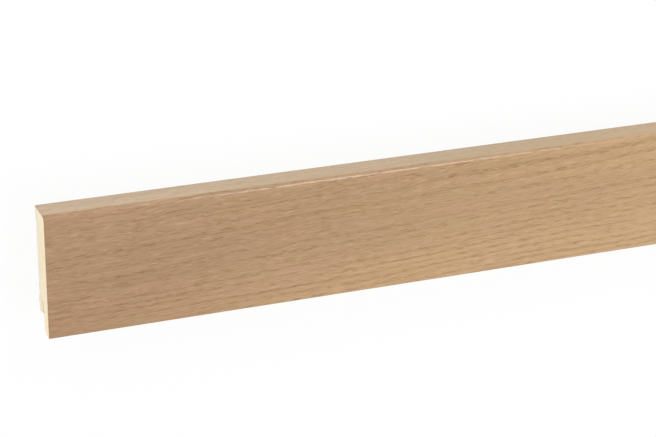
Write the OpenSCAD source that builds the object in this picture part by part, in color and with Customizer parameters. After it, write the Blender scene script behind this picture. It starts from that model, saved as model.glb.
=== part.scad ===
// Veneered skirting board length: a softwood moulding with an oak veneer on its face and top.
// The board lies on its back as it is stored: X along the board, Y from the floor edge to the
// top edge, Z out of the face. The wall plane is Z = 0, and the origin is under its middle.

/* [Board] */
// Length of the board
board_length = 2400; // [300:50:3000]
// Height of the board on the wall, from floor edge to top edge
board_height = 60; // [50:1:100]
// Thickness of the board, from the wall plane to the face
board_thickness = 16; // [14:0.5:22]
// Radius of the rounded upper edge of the face
round_radius = 3; // [1:0.5:6]
// Radius of the eased lower edge of the face
lower_arris = 0.5; // [0.2:0.1:1.5]
// Chamfer that trims the veneer where the top meets the back
back_arris = 0.7; // [0.2:0.1:1.5]

/* [Veneer] */
// Thickness of the oak veneer
veneer_thickness = 0.6; // [0.4:0.1:1.2]

/* [Back lands] */
// Height of the land that touches the wall below the top edge
top_land = 5.5; // [3:0.5:10]
// Height of the land that touches the wall above the clip lip
lower_land = 3; // [2:0.5:5]
// Depth of the hollow between the two lands
hollow_depth = 1.5; // [0.5:0.1:2]
// Run of the short slope at each side of a land
land_slope = 1; // [0.5:0.5:2]

/* [Foot] */
// Thickness of the foot, in front of the cable space
foot_thickness = 7.5; // [6:0.5:9]
// Height of the cable space at the back of the foot
foot_height = 9.5; // [7:0.5:12]
// Chamfer on the lower back edge of the foot
foot_chamfer = 2; // [0.5:0.5:3]

/* [Clip groove] */
// Width of the groove that the wall clips hook into
groove_width = 1.5; // [1:0.1:2]
// Depth of the groove along its slope
groove_depth = 6; // [4:0.5:8]
// Lean of the groove towards the wall
groove_angle = 12; // [5:1:18]
// Height from the mouth of the groove to the lower land
lip_height = 3; // [2:0.5:6]
// How far the clip lip stands back from the wall
lip_setback = 1; // [0.5:0.1:2]

/* [Hidden] */
$fn = 96;
// Cutting shapes run this far past the faces that they cut
past = 1;
// Width of the cable space, from the wall plane to the back of the foot
cable_space = board_thickness - foot_thickness;
// Radius of the core's upper edge, under the veneer
core_radius = max(round_radius - veneer_thickness, 0);
// Heights where the lower land starts and ends
land_start = foot_height + lip_height;
land_end = land_start + lower_land;
// Heights where the hollow starts and ends
hollow_start = land_end;
hollow_end = board_height - top_land;

// What is cut from a square corner at [0, 0] to round it, with the corner pointing up and right
module corner_waste(radius) {
    if (radius > 0)
        translate([-radius, -radius])
            difference() {
                square(radius + past);
                circle(radius);
            }
}

// What is cut from a square corner at [0, 0] to chamfer it, with the corner pointing down and right
module chamfer_waste(size) {
    polygon([[-size, 0], [-size, -past], [past, -past], [past, size], [0, size]]);
}

// The board's outline, veneer and core together, before the back is milled
module board_outline() {
    difference() {
        square([board_height, board_thickness]);
        translate([board_height, board_thickness]) corner_waste(round_radius);
        translate([0, board_thickness]) mirror([1, 0]) corner_waste(lower_arris);
        translate([board_height, 0]) chamfer_waste(back_arris);
    }
}

// The moulding under the veneer, with its own smaller round
module under_veneer() {
    face = board_thickness - veneer_thickness;
    top = board_height - veneer_thickness;
    difference() {
        translate([-past, -past]) square([top + past, face + past]);
        translate([top, face]) corner_waste(core_radius);
    }
}

// The space behind the foot, for cables and clips. Its upper side, the end of the clip lip, is
// square to the leaning groove.
module cable_waste() {
    polygon([
        [-past, -past],
        [-past, cable_space],
        [foot_height, cable_space],
        [foot_height - (cable_space + past) * tan(groove_angle), -past]
    ]);
}

// The leaning groove, whose front side starts at the top of the foot's back
module groove_waste() {
    translate([foot_height, cable_space])
        rotate(-groove_angle)
            polygon([[0, 0], [groove_depth, 0], [groove_depth, -groove_width], [-past, -groove_width]]);
}

// What is cut from the back of the clip lip, below the lower land
module lip_waste() {
    polygon([
        [-past, -past],
        [-past, lip_setback],
        [land_start - land_slope, lip_setback],
        [land_start, 0],
        [land_start, -past]
    ]);
}

// The shallow hollow between the two lands
module hollow_waste() {
    polygon([
        [hollow_start, -past],
        [hollow_start, 0],
        [hollow_start + land_slope, hollow_depth],
        [hollow_end - land_slope, hollow_depth],
        [hollow_end, 0],
        [hollow_end, -past]
    ]);
}

module core_outline() {
    difference() {
        intersection() {
            board_outline();
            under_veneer();
        }
        cable_waste();
        groove_waste();
        lip_waste();
        hollow_waste();
        translate([0, cable_space]) mirror([1, 0]) chamfer_waste(foot_chamfer);
    }
}

module veneer_outline() {
    difference() {
        board_outline();
        under_veneer();
    }
}

// Runs an outline drawn as [height, distance from the wall] along the whole board
module along_board() {
    rotate([90, 0, 90])
        linear_extrude(board_length, center = true)
            translate([-board_height / 2, 0]) children();
}

module softwood_core() {
    color([0.93, 0.89, 0.77]) along_board() core_outline();
}

module oak_veneer() {
    color([0.71, 0.58, 0.45]) along_board() veneer_outline();
}

softwood_core();
oak_veneer();
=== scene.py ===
"""Finish of a veneered skirting board length: an oak veneer on a softwood moulding.

The board lies on its back: X along the board, Y from its floor edge to its top edge, Z out of
its face, in metres. Outlines are drawn as (height above the floor edge, distance from the wall).
"""
import math

import bpy
from mathutils import Matrix, Vector


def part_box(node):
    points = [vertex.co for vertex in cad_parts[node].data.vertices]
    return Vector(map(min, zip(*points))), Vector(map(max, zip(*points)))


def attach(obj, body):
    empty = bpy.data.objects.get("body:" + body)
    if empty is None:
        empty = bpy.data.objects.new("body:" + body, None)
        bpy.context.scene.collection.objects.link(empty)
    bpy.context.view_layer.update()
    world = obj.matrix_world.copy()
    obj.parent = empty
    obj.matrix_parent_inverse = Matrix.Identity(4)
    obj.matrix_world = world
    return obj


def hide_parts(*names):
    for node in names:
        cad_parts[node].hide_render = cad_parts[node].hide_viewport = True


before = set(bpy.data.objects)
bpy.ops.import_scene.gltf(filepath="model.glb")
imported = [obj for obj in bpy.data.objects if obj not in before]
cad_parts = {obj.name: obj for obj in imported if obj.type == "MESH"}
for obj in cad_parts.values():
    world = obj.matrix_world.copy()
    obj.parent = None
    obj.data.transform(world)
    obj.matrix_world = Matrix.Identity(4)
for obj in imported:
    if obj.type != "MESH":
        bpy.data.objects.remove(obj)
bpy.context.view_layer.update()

MM = 0.001

# The board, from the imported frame
VENEER_LOW, VENEER_HIGH = (Vector(corner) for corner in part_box("oak_veneer"))
BOARD_LENGTH = VENEER_HIGH.x - VENEER_LOW.x
BOARD_HEIGHT = VENEER_HIGH.y - VENEER_LOW.y
BOARD_THICKNESS = VENEER_HIGH.z
FLOOR_EDGE = VENEER_LOW.y

# The section's sizes, as in the board's drawing
VENEER = 0.6 * MM
ROUND_RADIUS = 3 * MM
LOWER_ARRIS = 0.5 * MM
BACK_ARRIS = 0.7 * MM
TOP_LAND = 5.5 * MM
LOWER_LAND = 3 * MM
HOLLOW_DEPTH = 1.5 * MM
LAND_SLOPE = 1 * MM
FOOT_THICKNESS = 7.5 * MM
FOOT_HEIGHT = 9.5 * MM
FOOT_CHAMFER = 2 * MM
GROOVE_WIDTH = 1.5 * MM
GROOVE_DEPTH = 6 * MM
GROOVE_LEAN = math.radians(12)
LIP_HEIGHT = 3 * MM
LIP_SETBACK = 1 * MM

# How finely the pieces are drawn
ROUND_STEPS = 16
ARRIS_STEPS = 6
LENGTH_STEPS = 48
CREASE_ANGLE = math.radians(28)
# A face is a sawn end when it faces along the board by more than this
END_FACING = 0.9

# The folded map that the finishes are baked on: rows of board, one above the other
BAKE_ROWS = 6
BAKE_GAP = 2.5 * MM
HIDDEN_SHARE = 0.06

# Run of the fibres in the oak: how far they lean, wander and ripple, and how wide they lie at
# the floor edge and how fast they close up from there
FIBRE_LEAN = -0.042
FIBRE_WANDER = 9 * MM
FIBRE_RIPPLE = 1.1 * MM
FIBRE_WIDTH = 1.45
FIBRE_CLOSING = -5.5

# Slow drift of the oak's tone: one wave along the board and an uneven part
DRIFT_WAVE = 4.6
DRIFT_START = 4.2
DRIFT_UNEVEN = 1.2

# Heights on the sheet between which the yellower foot fades out and the painted sheen of the top
# fades in
FOOT_TONE_HIGH = 38 * MM
FOOT_TONE_LOW = 9 * MM
TOP_SHEEN_LOW = 61 * MM
TOP_SHEEN_HIGH = 62.3 * MM

# Ring lines in the oak: rows in a metre, how far they bend in rows, and how strong each kind is
RING_ROWS = 236.0
RING_BEND = 2.2
ROW_STRENGTH = 0.90
LINE_STRENGTH = 0.95
STREAK_STRENGTH = 1.9

# A net of dashes: how many cells chance shifts a row by
ROW_SHIFT = 7.0
# A dash in its cell, in parts of the cell: its place along, and how far chance slides it
DASH_MIDDLE = 0.7
DASH_SLIDE = 0.4
# Its place across, and how far chance moves it
DASH_LEVEL = 0.75
DASH_RISE = 0.5
# Half its length, how much chance takes off that, and the share of it where the taper starts
DASH_REACH = 0.29
DASH_SHORTER = -0.14
DASH_TAPER = 0.4
# Half its width, and the half width that is at full strength
DASH_EDGE = 0.25
DASH_CORE = 0.10
# How softly dashes come and go where their share changes
DASH_FADE = 0.25

# Colours of the oak
UPPER_BROWN = (0.371, 0.227, 0.123, 1)
UPPER_YELLOW = (0.520, 0.335, 0.164, 1)
FOOT_BROWN = (0.368, 0.213, 0.114, 1)
FOOT_YELLOW = (0.520, 0.333, 0.165, 1)
PINKISH = (0.480, 0.270, 0.165, 1)
PALE_VEIL = (0.640, 0.430, 0.230, 1)
# Painted sheen on the top: paler and greyer where light glances off the lacquer, dimmer where the
# board is yellower
TOP_PAINTED_SHEEN = (0.560, 0.470, 0.280, 1)
TOP_DIMMER_SHEEN = (0.300, 0.225, 0.085, 1)
RING_BROWN = (0.295, 0.165, 0.062, 1)
DARKER_THREAD = (0.905, 0.880, 0.825, 1)
LIGHTER_THREAD = (1.095, 1.120, 1.175, 1)
PORE_BROWN = (0.210, 0.103, 0.030, 1)
LIGHT_FLECK = (0.720, 0.530, 0.320, 1)
OAK_END_GRAIN = (0.330, 0.215, 0.125, 1)

# Growth rings in the softwood: from the pith to the middle of the back, width of a year, how
# far the rings wander, and how uneven the years are
FROM_PITH = (0, 34 * MM, 75 * MM)
YEAR = 2.3 * MM
RING_WANDER = 8 * MM
YEAR_UNEVEN = 5 * MM

# Colours of the softwood
PALE_WOOD = (0.885, 0.820, 0.670, 1)
WARM_WOOD = (0.905, 0.775, 0.545, 1)
LATE_WOOD = (0.700, 0.550, 0.340, 1)
DARKER_FIBRE = (0.700, 0.560, 0.370, 1)

# The studio
WHITE = (1, 1, 1, 1)
FLOOR_HALF = 6.0
FLOOR_TONE = (0.9, 0.9, 0.9, 1)
FLOOR_WHITE_SHARE = 0.92
SKY_LIGHT = 0.60

# The camera, fitted to the edges of the board in the photograph
CAMERA_PLACE = (-1.40292, 0.38609, 0.86493)
CAMERA_YAW = 0.37966
CAMERA_PITCH = 0.39048
CAMERA_ROLL = 0.00851
LENS_MM = 115.59
SENSOR_MM = 36.0
NEAREST = 0.01
FARTHEST = 60.0


# Helpers for node trees

def add(tree, kind, inputs=None, **settings):
    """Adds a node, and fills each input with a value or links it to a socket."""
    made = tree.nodes.new(kind)
    for name, value in settings.items():
        setattr(made, name, value)
    for key, value in (inputs or {}).items():
        if isinstance(value, bpy.types.NodeSocket):
            tree.links.new(value, made.inputs[key])
        else:
            made.inputs[key].default_value = value
    return made


def maths(tree, operation, first, second=0.0, third=0.0):
    """Returns the result of one sum."""
    made = add(tree, "ShaderNodeMath", {0: first, 1: second, 2: third}, operation=operation)
    return made.outputs[0]


def times(tree, first, second):
    """Returns one value times another."""
    return maths(tree, "MULTIPLY", first, second)


def times_plus(tree, first, second, third):
    """Returns one value times another, plus a third."""
    return maths(tree, "MULTIPLY_ADD", first, second, third)


def ramp(tree, value, low, high, to_low=0.0, to_high=1.0, smooth=True):
    """Returns a value moved from the span low to high onto another span, and held inside it."""
    kind = "SMOOTHSTEP" if smooth else "LINEAR"
    made = add(tree, "ShaderNodeMapRange", {0: value, 1: low, 2: high, 3: to_low, 4: to_high},
               interpolation_type=kind)
    return made.outputs[0]


def blend(tree, share, first, second, kind="MIX"):
    """Returns two colours blended."""
    made = add(tree, "ShaderNodeMix", {0: share, 6: first, 7: second}, data_type="RGBA",
               blend_type=kind)
    return made.outputs[2]


def tint(tree, colour, share, strength, over):
    """Returns a colour with another laid over it, as strong as share times strength."""
    return blend(tree, times(tree, share, strength), colour, over)


def noise(tree, place, along, across, depth=0.0, detail=2.0, rough=0.5, shift=0.0):
    """Returns a noise with its own number of swells per metre along and across the board."""
    moved = add(tree, "ShaderNodeMapping", {0: place, 1: (shift, shift * 1.7, shift * 0.6),
                                            3: (along, across, depth)}).outputs[0]
    made = add(tree, "ShaderNodeTexNoise", {0: moved, 2: 1.0, 3: detail, 4: rough},
               noise_dimensions="3D")
    return made.outputs[0]


def split(tree, place):
    """Returns the three parts of a place."""
    return add(tree, "ShaderNodeSeparateXYZ", {0: place}).outputs


def joined(tree, *parts):
    """Returns a place from up to three parts."""
    return add(tree, "ShaderNodeCombineXYZ", dict(enumerate(parts))).outputs[0]


def attribute(tree, name):
    """Returns a value that is kept on the piece itself."""
    return add(tree, "ShaderNodeAttribute", attribute_name=name).outputs["Fac"]


def dashes(tree, along, across, per_metre, rows, share, seed):
    """Returns short thin dashes along the board, one at most in each cell of a net.

    per_metre and rows are the cells along and across one metre. Each row of the net is shifted
    by its own amount, and share is how many of its cells hold a dash.
    """
    row = times(tree, across, rows)
    line = maths(tree, "FLOOR", row)
    start = add(tree, "ShaderNodeTexWhiteNoise", {"W": maths(tree, "ADD", line, seed)},
                noise_dimensions="1D").outputs[0]
    step = times_plus(tree, along, per_metre, times(tree, start, ROW_SHIFT))
    cell = joined(tree, maths(tree, "FLOOR", step), line, seed)
    chance = add(tree, "ShaderNodeTexWhiteNoise", {"Vector": cell}).outputs[1]
    chance = add(tree, "ShaderNodeSeparateColor", {0: chance}).outputs
    aside = times_plus(tree, chance[1], DASH_SLIDE, maths(tree, "FRACT", step))
    above = times_plus(tree, chance[2], DASH_RISE, maths(tree, "FRACT", row))
    off = maths(tree, "ABSOLUTE", maths(tree, "SUBTRACT", aside, DASH_MIDDLE))
    rise = maths(tree, "ABSOLUTE", maths(tree, "SUBTRACT", above, DASH_LEVEL))
    reach = times_plus(tree, chance[2], DASH_SHORTER, DASH_REACH)
    body = times(tree, ramp(tree, maths(tree, "DIVIDE", off, reach), 1.0, DASH_TAPER),
                 ramp(tree, rise, DASH_EDGE, DASH_CORE))
    here = ramp(tree, maths(tree, "SUBTRACT", share, chance[0]), 0.0, DASH_FADE)
    return times(tree, body, here)


# Outlines

def arc(centre, radius, start, end, steps):
    """Returns points on an arc, from one angle in degrees to another."""
    angles = (math.radians(start + (end - start) * i / steps) for i in range(steps + 1))
    return [(centre[0] + radius * math.cos(a), centre[1] + radius * math.sin(a)) for a in angles]


def glue_line():
    """Returns the joint between veneer and core, from the floor edge to the back of the top."""
    face = BOARD_THICKNESS - VENEER
    radius = ROUND_RADIUS - VENEER
    centre = (BOARD_HEIGHT - ROUND_RADIUS, BOARD_THICKNESS - ROUND_RADIUS)
    return ([(0, face)] + arc(centre, radius, 90, 0, ROUND_STEPS)
            + [(BOARD_HEIGHT - VENEER, BACK_ARRIS - VENEER)])


def veneer_outline():
    """Returns the veneer's outside, from the back of the top round to the floor edge."""
    round_centre = (BOARD_HEIGHT - ROUND_RADIUS, BOARD_THICKNESS - ROUND_RADIUS)
    arris_centre = (LOWER_ARRIS, BOARD_THICKNESS - LOWER_ARRIS)
    return ([(BOARD_HEIGHT - VENEER, BACK_ARRIS - VENEER), (BOARD_HEIGHT, BACK_ARRIS)]
            + arc(round_centre, ROUND_RADIUS, 0, 90, ROUND_STEPS)
            + arc(arris_centre, LOWER_ARRIS, 90, 180, ARRIS_STEPS)
            + [(0, BOARD_THICKNESS - VENEER)])


def moulding_outline():
    """Returns the milled side of the core, from the floor edge over the back to the top."""
    cable_space = BOARD_THICKNESS - FOOT_THICKNESS
    lean = math.tan(GROOVE_LEAN)
    into = Vector((math.cos(GROOVE_LEAN), -math.sin(GROOVE_LEAN)))
    aside = Vector((-math.sin(GROOVE_LEAN), -math.cos(GROOVE_LEAN)))
    mouth = Vector((FOOT_HEIGHT, cable_space))
    front_end = mouth + into * GROOVE_DEPTH
    back_end = front_end + aside * GROOVE_WIDTH
    back_mouth = mouth + aside * GROOVE_WIDTH
    land_start = FOOT_HEIGHT + LIP_HEIGHT
    land_end = land_start + LOWER_LAND
    hollow_end = BOARD_HEIGHT - TOP_LAND
    return [
        (0, BOARD_THICKNESS - VENEER),
        (0, cable_space + FOOT_CHAMFER),
        (FOOT_CHAMFER, cable_space),
        tuple(mouth),
        tuple(front_end),
        tuple(back_end),
        tuple(back_mouth),
        (FOOT_HEIGHT - (cable_space - LIP_SETBACK) * lean, LIP_SETBACK),
        (land_start - LAND_SLOPE, LIP_SETBACK),
        (land_start, 0),
        (land_end, 0),
        (land_end + LAND_SLOPE, HOLLOW_DEPTH),
        (hollow_end - LAND_SLOPE, HOLLOW_DEPTH),
        (hollow_end, 0),
        (BOARD_HEIGHT - BACK_ARRIS, 0),
        (BOARD_HEIGHT - VENEER, BACK_ARRIS - VENEER),
    ]


# The swept pieces

def sweep_sockets(tree):
    """Names what the sweep is given, and returns those values."""
    face = tree.interface
    for name, kind in (("Outline", "Geometry"), ("Length", "Float"), ("Steps", "Int"),
                       ("Crease", "Float"), ("Finish", "Material")):
        face.new_socket(name, in_out="INPUT", socket_type="NodeSocket" + kind)
    face.new_socket("Piece", in_out="OUTPUT", socket_type="NodeSocketGeometry")
    return tree.nodes.new("NodeGroupInput").outputs


def middle_line(tree, length, steps):
    """Returns a line along the board, with its middle at the origin."""
    half = times(tree, length, 0.5)
    left = joined(tree, times(tree, half, -1.0))
    right = joined(tree, half)
    line = add(tree, "GeometryNodeCurvePrimitiveLine", {"Start": left, "End": right}).outputs[0]
    count = maths(tree, "ADD", steps, 1)
    return add(tree, "GeometryNodeResampleCurve", {"Curve": line, "Count": count}).outputs[0]


def marked_ends(tree, swept):
    """Returns the sweep with its sawn ends marked for the finishes."""
    facing = split(tree, add(tree, "GeometryNodeInputNormal").outputs[0])[0]
    sawn = maths(tree, "GREATER_THAN", maths(tree, "ABSOLUTE", facing), END_FACING)
    return add(tree, "GeometryNodeStoreNamedAttribute",
               {"Geometry": swept, "Name": "sawn", "Value": sawn},
               data_type="FLOAT", domain="FACE").outputs[0]


def sharp_creases(tree, swept, crease):
    """Returns the sweep with smooth rounds, and edges sharp that turn more than the crease."""
    angle = add(tree, "GeometryNodeInputMeshEdgeAngle").outputs[0]
    sharp = maths(tree, "GREATER_THAN", angle, crease)
    return add(tree, "GeometryNodeSetShadeSmooth",
               {"Geometry": swept, "Selection": sharp, "Shade Smooth": False},
               domain="EDGE").outputs[0]


def sweep_tree():
    """Builds the tree that runs an outline along the board and marks its sawn ends."""
    tree = bpy.data.node_groups.new("moulding along the board", "GeometryNodeTree")
    given = sweep_sockets(tree)
    line = middle_line(tree, given["Length"], given["Steps"])
    # A sweep along +X turns its outline half round, so the outline is turned first
    outline = add(tree, "GeometryNodeMeshToCurve", {"Mesh": given["Outline"]}).outputs[0]
    outline = add(tree, "GeometryNodeTransform",
                  {"Geometry": outline, "Rotation": (0, 0, math.pi)}).outputs[0]
    swept = add(tree, "GeometryNodeCurveToMesh",
                {"Curve": line, "Profile Curve": outline, "Fill Caps": True}).outputs[0]
    swept = marked_ends(tree, swept)
    swept = sharp_creases(tree, swept, given["Crease"])
    swept = add(tree, "GeometryNodeRealizeInstances", {0: swept}).outputs[0]
    swept = add(tree, "GeometryNodeSetMaterial",
                {"Geometry": swept, "Material": given["Finish"]}).outputs[0]
    add(tree, "NodeGroupOutput", {"Piece": swept})
    return tree


def girths(points):
    """Returns how far along a path each of its points is."""
    reached = [0.0]
    for last, point in zip(points, points[1:]):
        reached.append(reached[-1] + math.dist(last, point))
    return reached


def outline_mesh(name, visible, hidden):
    """Draws a closed outline on the ground, and keeps how far round each point is."""
    points = visible + hidden
    mesh = bpy.data.meshes.new(name)
    mesh.from_pydata([(u + FLOOR_EDGE, v, 0) for u, v in points],
                     [(i, (i + 1) % len(points)) for i in range(len(points))], [])
    reached = girths(visible)
    across = [reached[-1] - distance for distance in reached]
    across += girths(visible[-1:] + hidden)[1:]
    kept = mesh.attributes.new("across", "FLOAT", "POINT")
    kept.data.foreach_set("value", across)
    return mesh


def bake_girths(visible, hidden):
    """Returns how far round each point is on the bake map, where the glued sides are narrow."""
    points = visible + hidden + visible[:1]
    seen = len(visible)
    rounds = [0.0]
    for i in range(1, len(points)):
        share = 1.0 if i < seen else HIDDEN_SHARE
        rounds.append(rounds[-1] + share * math.dist(points[i - 1], points[i]))
    return rounds


def side_places(corners, rounds, row_height):
    """Returns where the corners of a side face lie on the bake map, in metres."""
    around = len(rounds) - 1
    per_row = LENGTH_STEPS // BAKE_ROWS
    step = BOARD_LENGTH / LENGTH_STEPS
    row = min(i // around for i in corners) // per_row
    closing = {i % around for i in corners} == {0, around - 1}
    places = []
    for index in corners:
        station, turn = divmod(index, around)
        turn = around if closing and turn == 0 else turn
        places.append(((station - row * per_row) * step, row * row_height + rounds[turn]))
    return places


def end_places(spots, left):
    """Returns where the corners of a sawn end lie on the bake map, in metres."""
    beside_rows = BOARD_LENGTH / BAKE_ROWS + BAKE_GAP
    lift = 0.0 if left else BOARD_HEIGHT + 2 * BAKE_GAP
    return [(beside_rows + spot.z, lift + spot.y - FLOOR_EDGE) for spot in spots]


def fold_bake_map(mesh, visible, hidden):
    """Lays the piece out in rows for baking, and its two ends beside them."""
    rounds = bake_girths(visible, hidden)
    row_height = rounds[-1] + BAKE_GAP
    scale = 1.0 / (BAKE_ROWS * row_height + BAKE_GAP)
    layer = mesh.uv_layers.new(name="OFBake")
    for polygon in mesh.polygons:
        corners = list(polygon.vertices)
        if abs(polygon.normal.x) < END_FACING:
            places = side_places(corners, rounds, row_height)
        else:
            places = end_places([mesh.vertices[i].co for i in corners], polygon.normal.x < 0)
        for loop, (u, v) in zip(polygon.loop_indices, places):
            layer.data[loop].uv = ((BAKE_GAP + u) * scale, (BAKE_GAP + v) * scale)
    mesh.uv_layers.active = layer


def swept_piece(name, tree, visible, hidden, finish):
    """Runs an outline along the board, and leaves it as a plain mesh."""
    mesh = outline_mesh(name + " outline", visible, hidden)
    piece = bpy.data.objects.new(name, mesh)
    bpy.context.scene.collection.objects.link(piece)
    modifier = piece.modifiers.new("sweep", "NODES")
    modifier.node_group = tree
    values = {"Length": BOARD_LENGTH, "Steps": LENGTH_STEPS, "Crease": CREASE_ANGLE,
              "Finish": finish}
    for item in tree.interface.items_tree:
        if item.name in values:
            modifier[item.identifier] = values[item.name]
    graph = bpy.context.evaluated_depsgraph_get()
    done = bpy.data.meshes.new_from_object(piece.evaluated_get(graph),
                                           preserve_all_data_layers=True, depsgraph=graph)
    piece.modifiers.clear()
    piece.data = done
    done.name = name
    bpy.data.meshes.remove(mesh)
    fold_bake_map(done, visible, hidden)
    return piece


# Finishes

def finish_material(name):
    """Returns a new material with its tree, its shader and the object's own coordinates."""
    material = bpy.data.materials.new(name)
    material.use_nodes = True
    tree = material.node_tree
    tree.nodes.clear()
    shader = add(tree, "ShaderNodeBsdfPrincipled")
    add(tree, "ShaderNodeOutputMaterial", {"Surface": shader.outputs[0]})
    place = add(tree, "ShaderNodeTexCoord").outputs["Object"]
    return material, tree, shader, place


def fill_shader(tree, shader, colour, rough, strength, depth, height):
    """Gives a shader its colour, its roughness and a relief of a depth and strength."""
    relief = add(tree, "ShaderNodeBump", {"Strength": strength, "Distance": depth,
                                          "Height": height}).outputs[0]
    for name, value in (("Base Color", colour), ("Roughness", rough), ("Normal", relief)):
        tree.links.new(value, shader.inputs[name])


class OakSheet:
    """Where a point lies on the oak sheet and how its grain runs there, for all its layers."""

    def __init__(self, tree, place):
        self.along = split(tree, place)[0]
        self.across = attribute(tree, "across")
        self.flat = joined(tree, self.along, self.across)
        self.spread = self.fibre_spread(tree)
        self.fibre = joined(tree, self.along, self.spread)
        self.foot = ramp(tree, self.across, FOOT_TONE_HIGH, FOOT_TONE_LOW)
        # The band of the top, where a painted sheen is laid and the grain is fainter
        self.top = ramp(tree, self.across, TOP_SHEEN_LOW, TOP_SHEEN_HIGH)
        self.drift = self.tone_drift(tree)
        self.grain = self.grain_strength(tree)

    def fibre_spread(self, tree):
        """Returns the place across the fibres, which lean, wander and lie closer at the foot."""
        wander = times(tree, noise(tree, self.flat, along=8, across=16, shift=3.1), FIBRE_WANDER)
        ripple = noise(tree, self.flat, along=32, across=80, detail=1, shift=0.7)
        wander = times_plus(tree, ripple, FIBRE_RIPPLE, wander)
        lean = times_plus(tree, self.along, FIBRE_LEAN, wander)
        width = times_plus(tree, self.across, FIBRE_CLOSING, FIBRE_WIDTH)
        return times_plus(tree, self.across, width, lean)

    def tone_drift(self, tree):
        """Returns the slow drift of tone along the sheet."""
        wave = maths(tree, "SINE", times_plus(tree, self.along, DRIFT_WAVE, DRIFT_START))
        uneven = noise(tree, self.flat, along=5, across=30, shift=1.3)
        return times_plus(tree, uneven, DRIFT_UNEVEN, wave)

    def grain_strength(self, tree):
        """Returns how strong the grain is: fainter where the tone is yellow and on the top."""
        on_top = times_plus(tree, self.top, -0.45, 1.0)
        return times(tree, on_top, ramp(tree, self.drift, -0.4, 1.0, to_low=1.05, to_high=0.80))


def oak_tone(tree, sheet):
    """Returns the slow tone: yellower towards the floor edge, with patches and a painted sheen on
    the top.
    """
    upper = blend(tree, ramp(tree, sheet.drift, -0.5, 1.3), UPPER_BROWN, UPPER_YELLOW)
    lower = blend(tree, ramp(tree, sheet.drift, -0.70, 0.25), FOOT_BROWN, FOOT_YELLOW)
    colour = tint(tree, upper, sheet.foot, strength=0.8, over=lower)
    patches = noise(tree, sheet.fibre, along=35, across=110, shift=5.7)
    colour = tint(tree, colour, ramp(tree, patches, 0.45, 0.70), strength=0.34, over=PINKISH)
    veil = noise(tree, sheet.fibre, along=6, across=190, shift=8.2)
    colour = tint(tree, colour, ramp(tree, veil, 0.38, 0.64), strength=0.07, over=PALE_VEIL)
    # Painted sheen: the top is made paler and greyer, as light glancing off its lacquer would
    # make it, and dimmer where the board is yellower
    top_sheen = blend(tree, ramp(tree, sheet.drift, -0.4, 0.6), TOP_PAINTED_SHEEN, TOP_DIMMER_SHEEN)
    return tint(tree, colour, sheet.top, strength=0.36, over=top_sheen)


def ring_rows(tree, sheet):
    """Returns the rows of ring lines, at a fairly even pitch and of uneven strength."""
    bend = times(tree, noise(tree, sheet.fibre, along=5, across=30, shift=11.9), RING_BEND)
    row = times_plus(tree, sheet.spread, RING_ROWS, bend)
    row = maths(tree, "SINE", times(tree, row, math.tau))
    strength = noise(tree, sheet.fibre, along=8, across=150, shift=4.9)
    strength = ramp(tree, strength, 0.34, 0.62, to_low=0.25)
    strength = times(tree, strength, times_plus(tree, sheet.foot, 0.30, 0.78))
    return times(tree, ramp(tree, row, -0.3, 1.0), strength)


def ring_lines(tree, sheet, rows):
    """Returns all the ring lines: the rows, long thin lines and streaks."""
    lines = noise(tree, sheet.fibre, along=4, across=540, detail=1, shift=2.4)
    lines = ramp(tree, lines, 0.54, 0.70)
    streaks = dashes(tree, sheet.along, sheet.spread, per_metre=10, rows=620, share=0.34,
                     seed=53.0)
    rings = times_plus(tree, lines, LINE_STRENGTH, times(tree, rows, ROW_STRENGTH))
    rings = times_plus(tree, streaks, STREAK_STRENGTH, rings)
    return times(tree, rings, sheet.grain)


def oak_threads(tree, sheet, colour):
    """Returns a colour with a fine fleece of lighter and darker threads."""
    threads = noise(tree, sheet.fibre, along=150, across=1500, rough=0.6, shift=21.3)
    threads = blend(tree, ramp(tree, threads, 0.32, 0.68, smooth=False),
                    DARKER_THREAD, LIGHTER_THREAD)
    return blend(tree, sheet.grain, colour, threads, kind="MULTIPLY")


def oak_pores(tree, sheet, rows):
    """Returns the pores: short dark dashes that crowd in the ring lines."""
    crowd = noise(tree, sheet.fibre, along=12, across=45, shift=6.6)
    share = times_plus(tree, crowd, 0.3, times_plus(tree, rows, 0.65, 0.05))
    fewer = times(tree, share, 0.7)
    long_pores = dashes(tree, sheet.along, sheet.spread, per_metre=62, rows=1250, share=share,
                        seed=3.0)
    short_pores = dashes(tree, sheet.along, sheet.spread, per_metre=125, rows=1450,
                         share=share, seed=17.0)
    specks = dashes(tree, sheet.along, sheet.spread, per_metre=210, rows=1700, share=fewer,
                    seed=29.0)
    pores = maths(tree, "MAXIMUM", maths(tree, "MAXIMUM", long_pores, short_pores), specks)
    return times(tree, pores, sheet.grain)


def oak_flecks(tree, sheet):
    """Returns a few short light dashes."""
    flecks = dashes(tree, sheet.along, sheet.spread, per_metre=110, rows=1250, share=0.30,
                    seed=41.0)
    return times(tree, flecks, sheet.grain)


def oak_finish():
    """Lacquered oak: ring lines full of short dark pores, soft patches and small light flecks."""
    material, tree, shader, place = finish_material("lacquered oak veneer")
    sheet = OakSheet(tree, place)
    rows = ring_rows(tree, sheet)
    rings = ring_lines(tree, sheet, rows)
    pores = oak_pores(tree, sheet, rows)
    sawn = attribute(tree, "sawn")

    colour = oak_tone(tree, sheet)
    colour = tint(tree, colour, rings, strength=0.21, over=RING_BROWN)
    colour = oak_threads(tree, sheet, colour)
    colour = tint(tree, colour, pores, strength=0.74, over=PORE_BROWN)
    colour = tint(tree, colour, oak_flecks(tree, sheet), strength=0.30, over=LIGHT_FLECK)
    colour = tint(tree, colour, sawn, strength=0.6, over=OAK_END_GRAIN)

    rough = times_plus(tree, sawn, 0.3, times_plus(tree, pores, 0.14, 0.19))
    height = times_plus(tree, rings, -0.25, times(tree, pores, -1.0))
    fill_shader(tree, shader, colour, rough, strength=0.35, depth=0.05 * MM, height=height)
    return material


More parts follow.
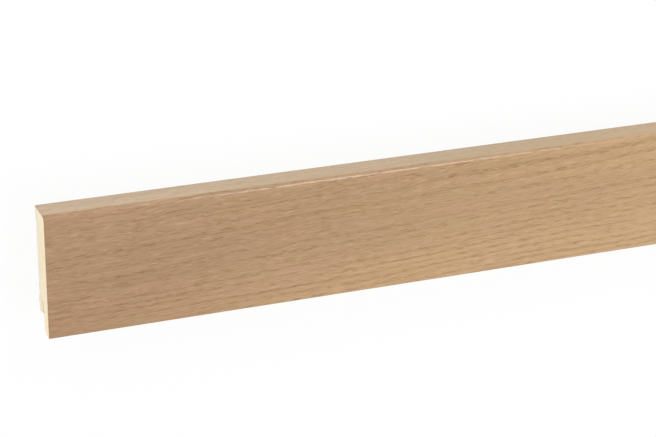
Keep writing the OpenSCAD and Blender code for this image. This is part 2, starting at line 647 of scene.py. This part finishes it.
def late_wood(tree, place):
    """Returns the darker late wood of the growth rings, wide and narrow, strong and weak."""
    bent = noise(tree, place, along=1.2, across=14, depth=14, shift=4.2)
    centred = add(tree, "ShaderNodeMapping", {0: place, 1: FROM_PITH}).outputs[0]
    parts = split(tree, centred)
    level = joined(tree, parts[1], parts[2])
    reach = add(tree, "ShaderNodeVectorMath", {0: level}, operation="LENGTH").outputs["Value"]
    reach = times_plus(tree, bent, RING_WANDER, reach)
    outward = joined(tree, reach)
    years = noise(tree, outward, along=170, across=1, detail=1, shift=5.3)
    reach = times_plus(tree, years, YEAR_UNEVEN, reach)
    ring = maths(tree, "FRACT", times(tree, reach, 1 / YEAR))
    late = times(tree, ramp(tree, ring, 0.52, 0.92), ramp(tree, ring, 1.0, 0.95))
    amount = noise(tree, outward, along=260, across=1, detail=1, shift=9.1)
    return times(tree, late, ramp(tree, amount, 0.35, 0.65, to_low=0.45))


def softwood_tone(tree, place):
    """Returns the softwood's slow tone, warmer towards the face and in soft clouds."""
    clouds = noise(tree, place, along=3, across=40, depth=40, shift=7.7)
    tone = times_plus(tree, split(tree, place)[2], 45.0, clouds)
    return blend(tree, ramp(tree, tone, 0.45, 1.15), PALE_WOOD, WARM_WOOD)


def softwood_finish():
    """Pale softwood: growth rings round a far pith, so arcs on the ends and lines on the back."""
    material, tree, shader, place = finish_material("planed softwood")
    sawn = attribute(tree, "sawn")
    fibres = noise(tree, place, along=18, across=1400, depth=1400, shift=2.9)
    fibres = ramp(tree, fibres, 0.45, 0.75)

    colour = softwood_tone(tree, place)
    colour = tint(tree, colour, late_wood(tree, place), strength=0.42, over=LATE_WOOD)
    colour = tint(tree, colour, fibres, strength=0.18, over=DARKER_FIBRE)

    rough = times_plus(tree, sawn, 0.12, 0.62)
    grooves = noise(tree, place, along=1, across=900, depth=70, detail=1, shift=1.9)
    saw_marks = times(tree, grooves, sawn)
    height = maths(tree, "ADD", times(tree, fibres, -0.5), saw_marks)
    fill_shader(tree, shader, colour, rough, strength=0.4, depth=0.1 * MM, height=height)
    return material


# The studio

def mirrored(tree):
    """Returns 1 for rays that reflect or pass through to the camera."""
    rays = add(tree, "ShaderNodeLightPath").outputs
    return maths(tree, "MAXIMUM", rays["Is Glossy Ray"], rays["Is Transmission Ray"])


def seen_or_mirrored(tree, seen=1.0):
    """Returns 1 for those rays, and how much of the white the camera's own rays see."""
    rays = add(tree, "ShaderNodeLightPath").outputs
    return maths(tree, "MAXIMUM", times(tree, rays["Is Camera Ray"], seen), mirrored(tree))


def white_floor():
    """Makes the pale floor, which shows white and keeps a soft shadow of the board."""
    half = FLOOR_HALF
    mesh = bpy.data.meshes.new("floor")
    mesh.from_pydata([(-half, -half, 0), (half, -half, 0), (half, half, 0), (-half, half, 0)], [],
                     [(0, 1, 2, 3)])
    floor = bpy.data.objects.new("floor", mesh)
    bpy.context.scene.collection.objects.link(floor)
    material = bpy.data.materials.new("white floor")
    material.use_nodes = True
    tree = material.node_tree
    tree.nodes.clear()
    plain = add(tree, "ShaderNodeBsdfDiffuse", {"Color": FLOOR_TONE}).outputs[0]
    white = add(tree, "ShaderNodeEmission", {"Color": WHITE, "Strength": 1.0}).outputs[0]
    share = seen_or_mirrored(tree, seen=FLOOR_WHITE_SHARE)
    mixed = add(tree, "ShaderNodeMixShader", {0: share, 1: plain, 2: white}).outputs[0]
    add(tree, "ShaderNodeOutputMaterial", {"Surface": mixed})
    mesh.materials.append(material)


def white_world():
    """Lights the board evenly from all round, and shows white behind it."""
    world = bpy.data.worlds.new("studio")
    bpy.context.scene.world = world
    world.use_nodes = True
    tree = world.node_tree
    tree.nodes.clear()
    light = add(tree, "ShaderNodeBackground", {"Color": WHITE, "Strength": SKY_LIGHT}).outputs[0]
    white = add(tree, "ShaderNodeBackground", {"Color": WHITE, "Strength": 1.0}).outputs[0]
    mixed = add(tree, "ShaderNodeMixShader", {0: seen_or_mirrored(tree), 1: light, 2: white})
    add(tree, "ShaderNodeOutputWorld", {"Surface": mixed.outputs[0]})


def softbox(name, place, aim, size, power, spread=math.pi, glints=False):
    """Adds a soft rectangular lamp that looks from one point at another.

    Only a lamp that glints shows in the lacquer, so the others leave no bright patch on it.
    """
    data = bpy.data.lights.new(name, "AREA")
    data.shape = "RECTANGLE"
    data.size, data.size_y = size
    data.energy = power
    data.spread = spread
    lamp = bpy.data.objects.new(name, data)
    lamp.location = place
    lamp.visible_glossy = glints
    lamp.rotation_euler = (Vector(aim) - Vector(place)).to_track_quat("-Z", "Y").to_euler()
    bpy.context.scene.collection.objects.link(lamp)


def soft_lights():
    """Sets the lamps round the board."""
    softbox("near top light", place=(-2.1, 1.75, 0.7), aim=(-0.7, 0, 0), size=(1.2, 0.9),
            power=13)
    softbox("round light", place=(-0.31, 1.6, 0.97), aim=(-1.0, 0, 0), size=(0.42, 0.85),
            power=1.4, spread=math.radians(80), glints=True)
    softbox("face light", place=(0.6, -1.2, 1.5), aim=(-0.4, 0, 0), size=(2.4, 0.9), power=34)
    softbox("near end light", place=(-2.4, 0.2, 0.4), aim=(-1.2, 0, 0), size=(1.0, 0.6),
            power=3.5)
    softbox("far end light", place=(2.4, 0.2, 0.4), aim=(1.2, 0, 0), size=(1.0, 0.6), power=3.5)
    softbox("far top light", place=(1.6, 1.75, 0.7), aim=(0.7, 0, 0), size=(1.2, 0.9), power=9)


def camera():
    """Sets the camera where the photograph was taken from."""
    ahead = Vector((math.sin(CAMERA_YAW) * math.cos(CAMERA_PITCH), -math.sin(CAMERA_PITCH),
                    -math.cos(CAMERA_YAW) * math.cos(CAMERA_PITCH)))
    level = Vector((math.cos(CAMERA_YAW), 0, math.sin(CAMERA_YAW)))
    upward = level.cross(ahead)
    right = level * math.cos(CAMERA_ROLL) + upward * math.sin(CAMERA_ROLL)
    up = upward * math.cos(CAMERA_ROLL) - level * math.sin(CAMERA_ROLL)
    data = bpy.data.cameras.new("camera")
    data.lens = LENS_MM
    data.sensor_width = SENSOR_MM
    data.clip_start = NEAREST
    data.clip_end = FARTHEST
    eye = bpy.data.objects.new("camera", data)
    turn = Matrix((right, up, -ahead)).transposed().to_4x4()
    eye.matrix_world = Matrix.Translation(CAMERA_PLACE) @ turn
    bpy.context.scene.collection.objects.link(eye)
    bpy.context.scene.camera = eye


def studio():
    """Sets up the camera, the floor and the soft light."""
    bpy.context.scene.view_settings.view_transform = "Standard"
    camera()
    white_floor()
    white_world()
    soft_lights()


# The board

def board():
    """Makes the veneer and the moulding under it, each in place of its plain solid."""
    tree = sweep_tree()
    joint = glue_line()
    veneer = swept_piece("oak_veneer_sheet", tree, veneer_outline(), joint[1:-1], oak_finish())
    core = swept_piece("softwood_moulding", tree, moulding_outline(), joint[-2:0:-1],
                       softwood_finish())
    for piece, node, slot in ((veneer, "oak_veneer", "oak"), (core, "softwood_core", "softwood")):
        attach(piece, "root")
        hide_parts(node)


studio()
board()
bpy.context.view_layer.update()
